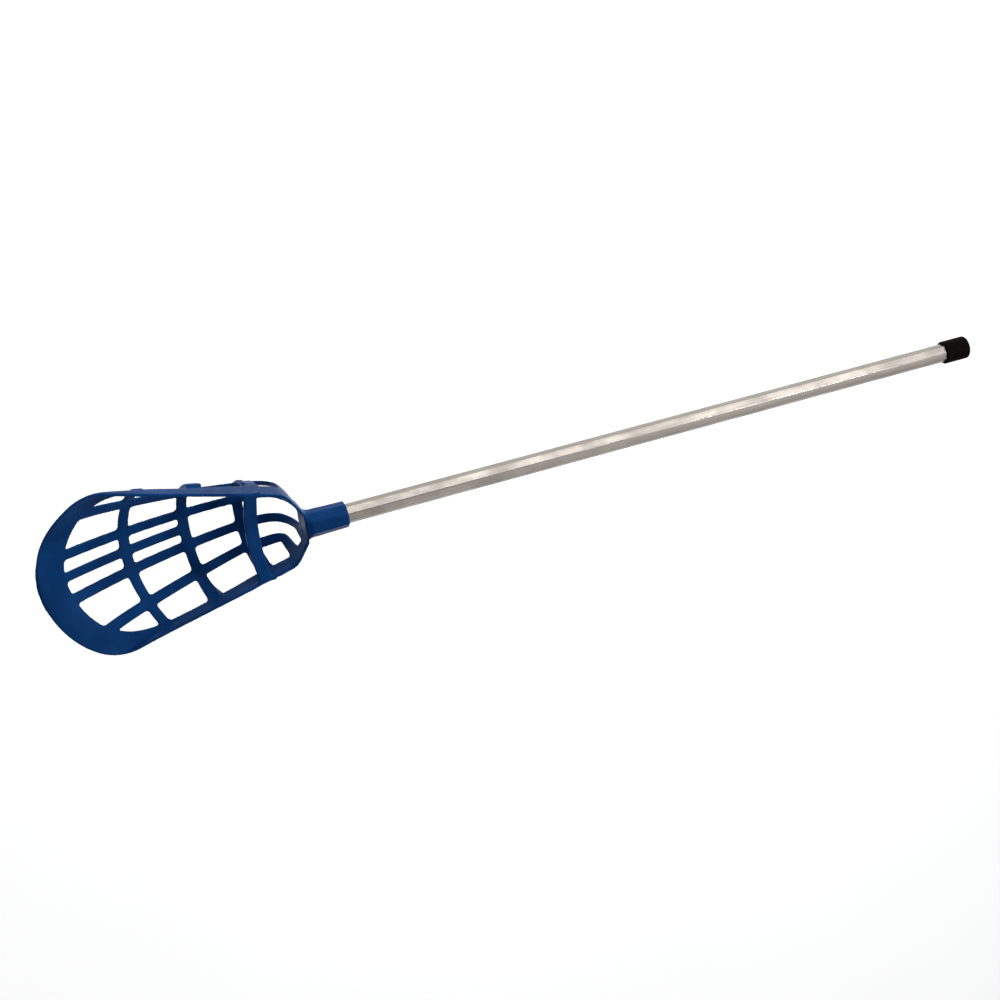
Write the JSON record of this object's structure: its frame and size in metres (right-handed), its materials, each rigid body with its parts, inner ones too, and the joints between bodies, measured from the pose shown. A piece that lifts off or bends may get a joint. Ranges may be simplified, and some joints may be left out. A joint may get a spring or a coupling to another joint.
{
  "type": "lacrosse stick",
  "caption": "Soft lacrosse stick: a moulded head with an open lattice pocket and a bridge bar, on an octagonal aluminium tube with a rubber butt cap.",
  "frame": {"origin": "centre of the flat end of the butt cap, on the axis of the tube", "axes": "+X along the tube from the butt to the tip of the head, +Z out of the open side of the pocket, +Y across the head"},
  "size_m": [0.9962, 0.1716, 0.0818],
  "materials": {
    "head_plastic": "semi-gloss moulding",
    "tube_aluminium": "satin",
    "cap_rubber": "matte",
    "screw_steel": "zinc plated"
  },
  "bodies": {
    "root": {"head": "head_plastic", "shaft": "tube_aluminium", "end_cap": "cap_rubber", "head_screw": "screw_steel"}
  },
  "joints": []
}
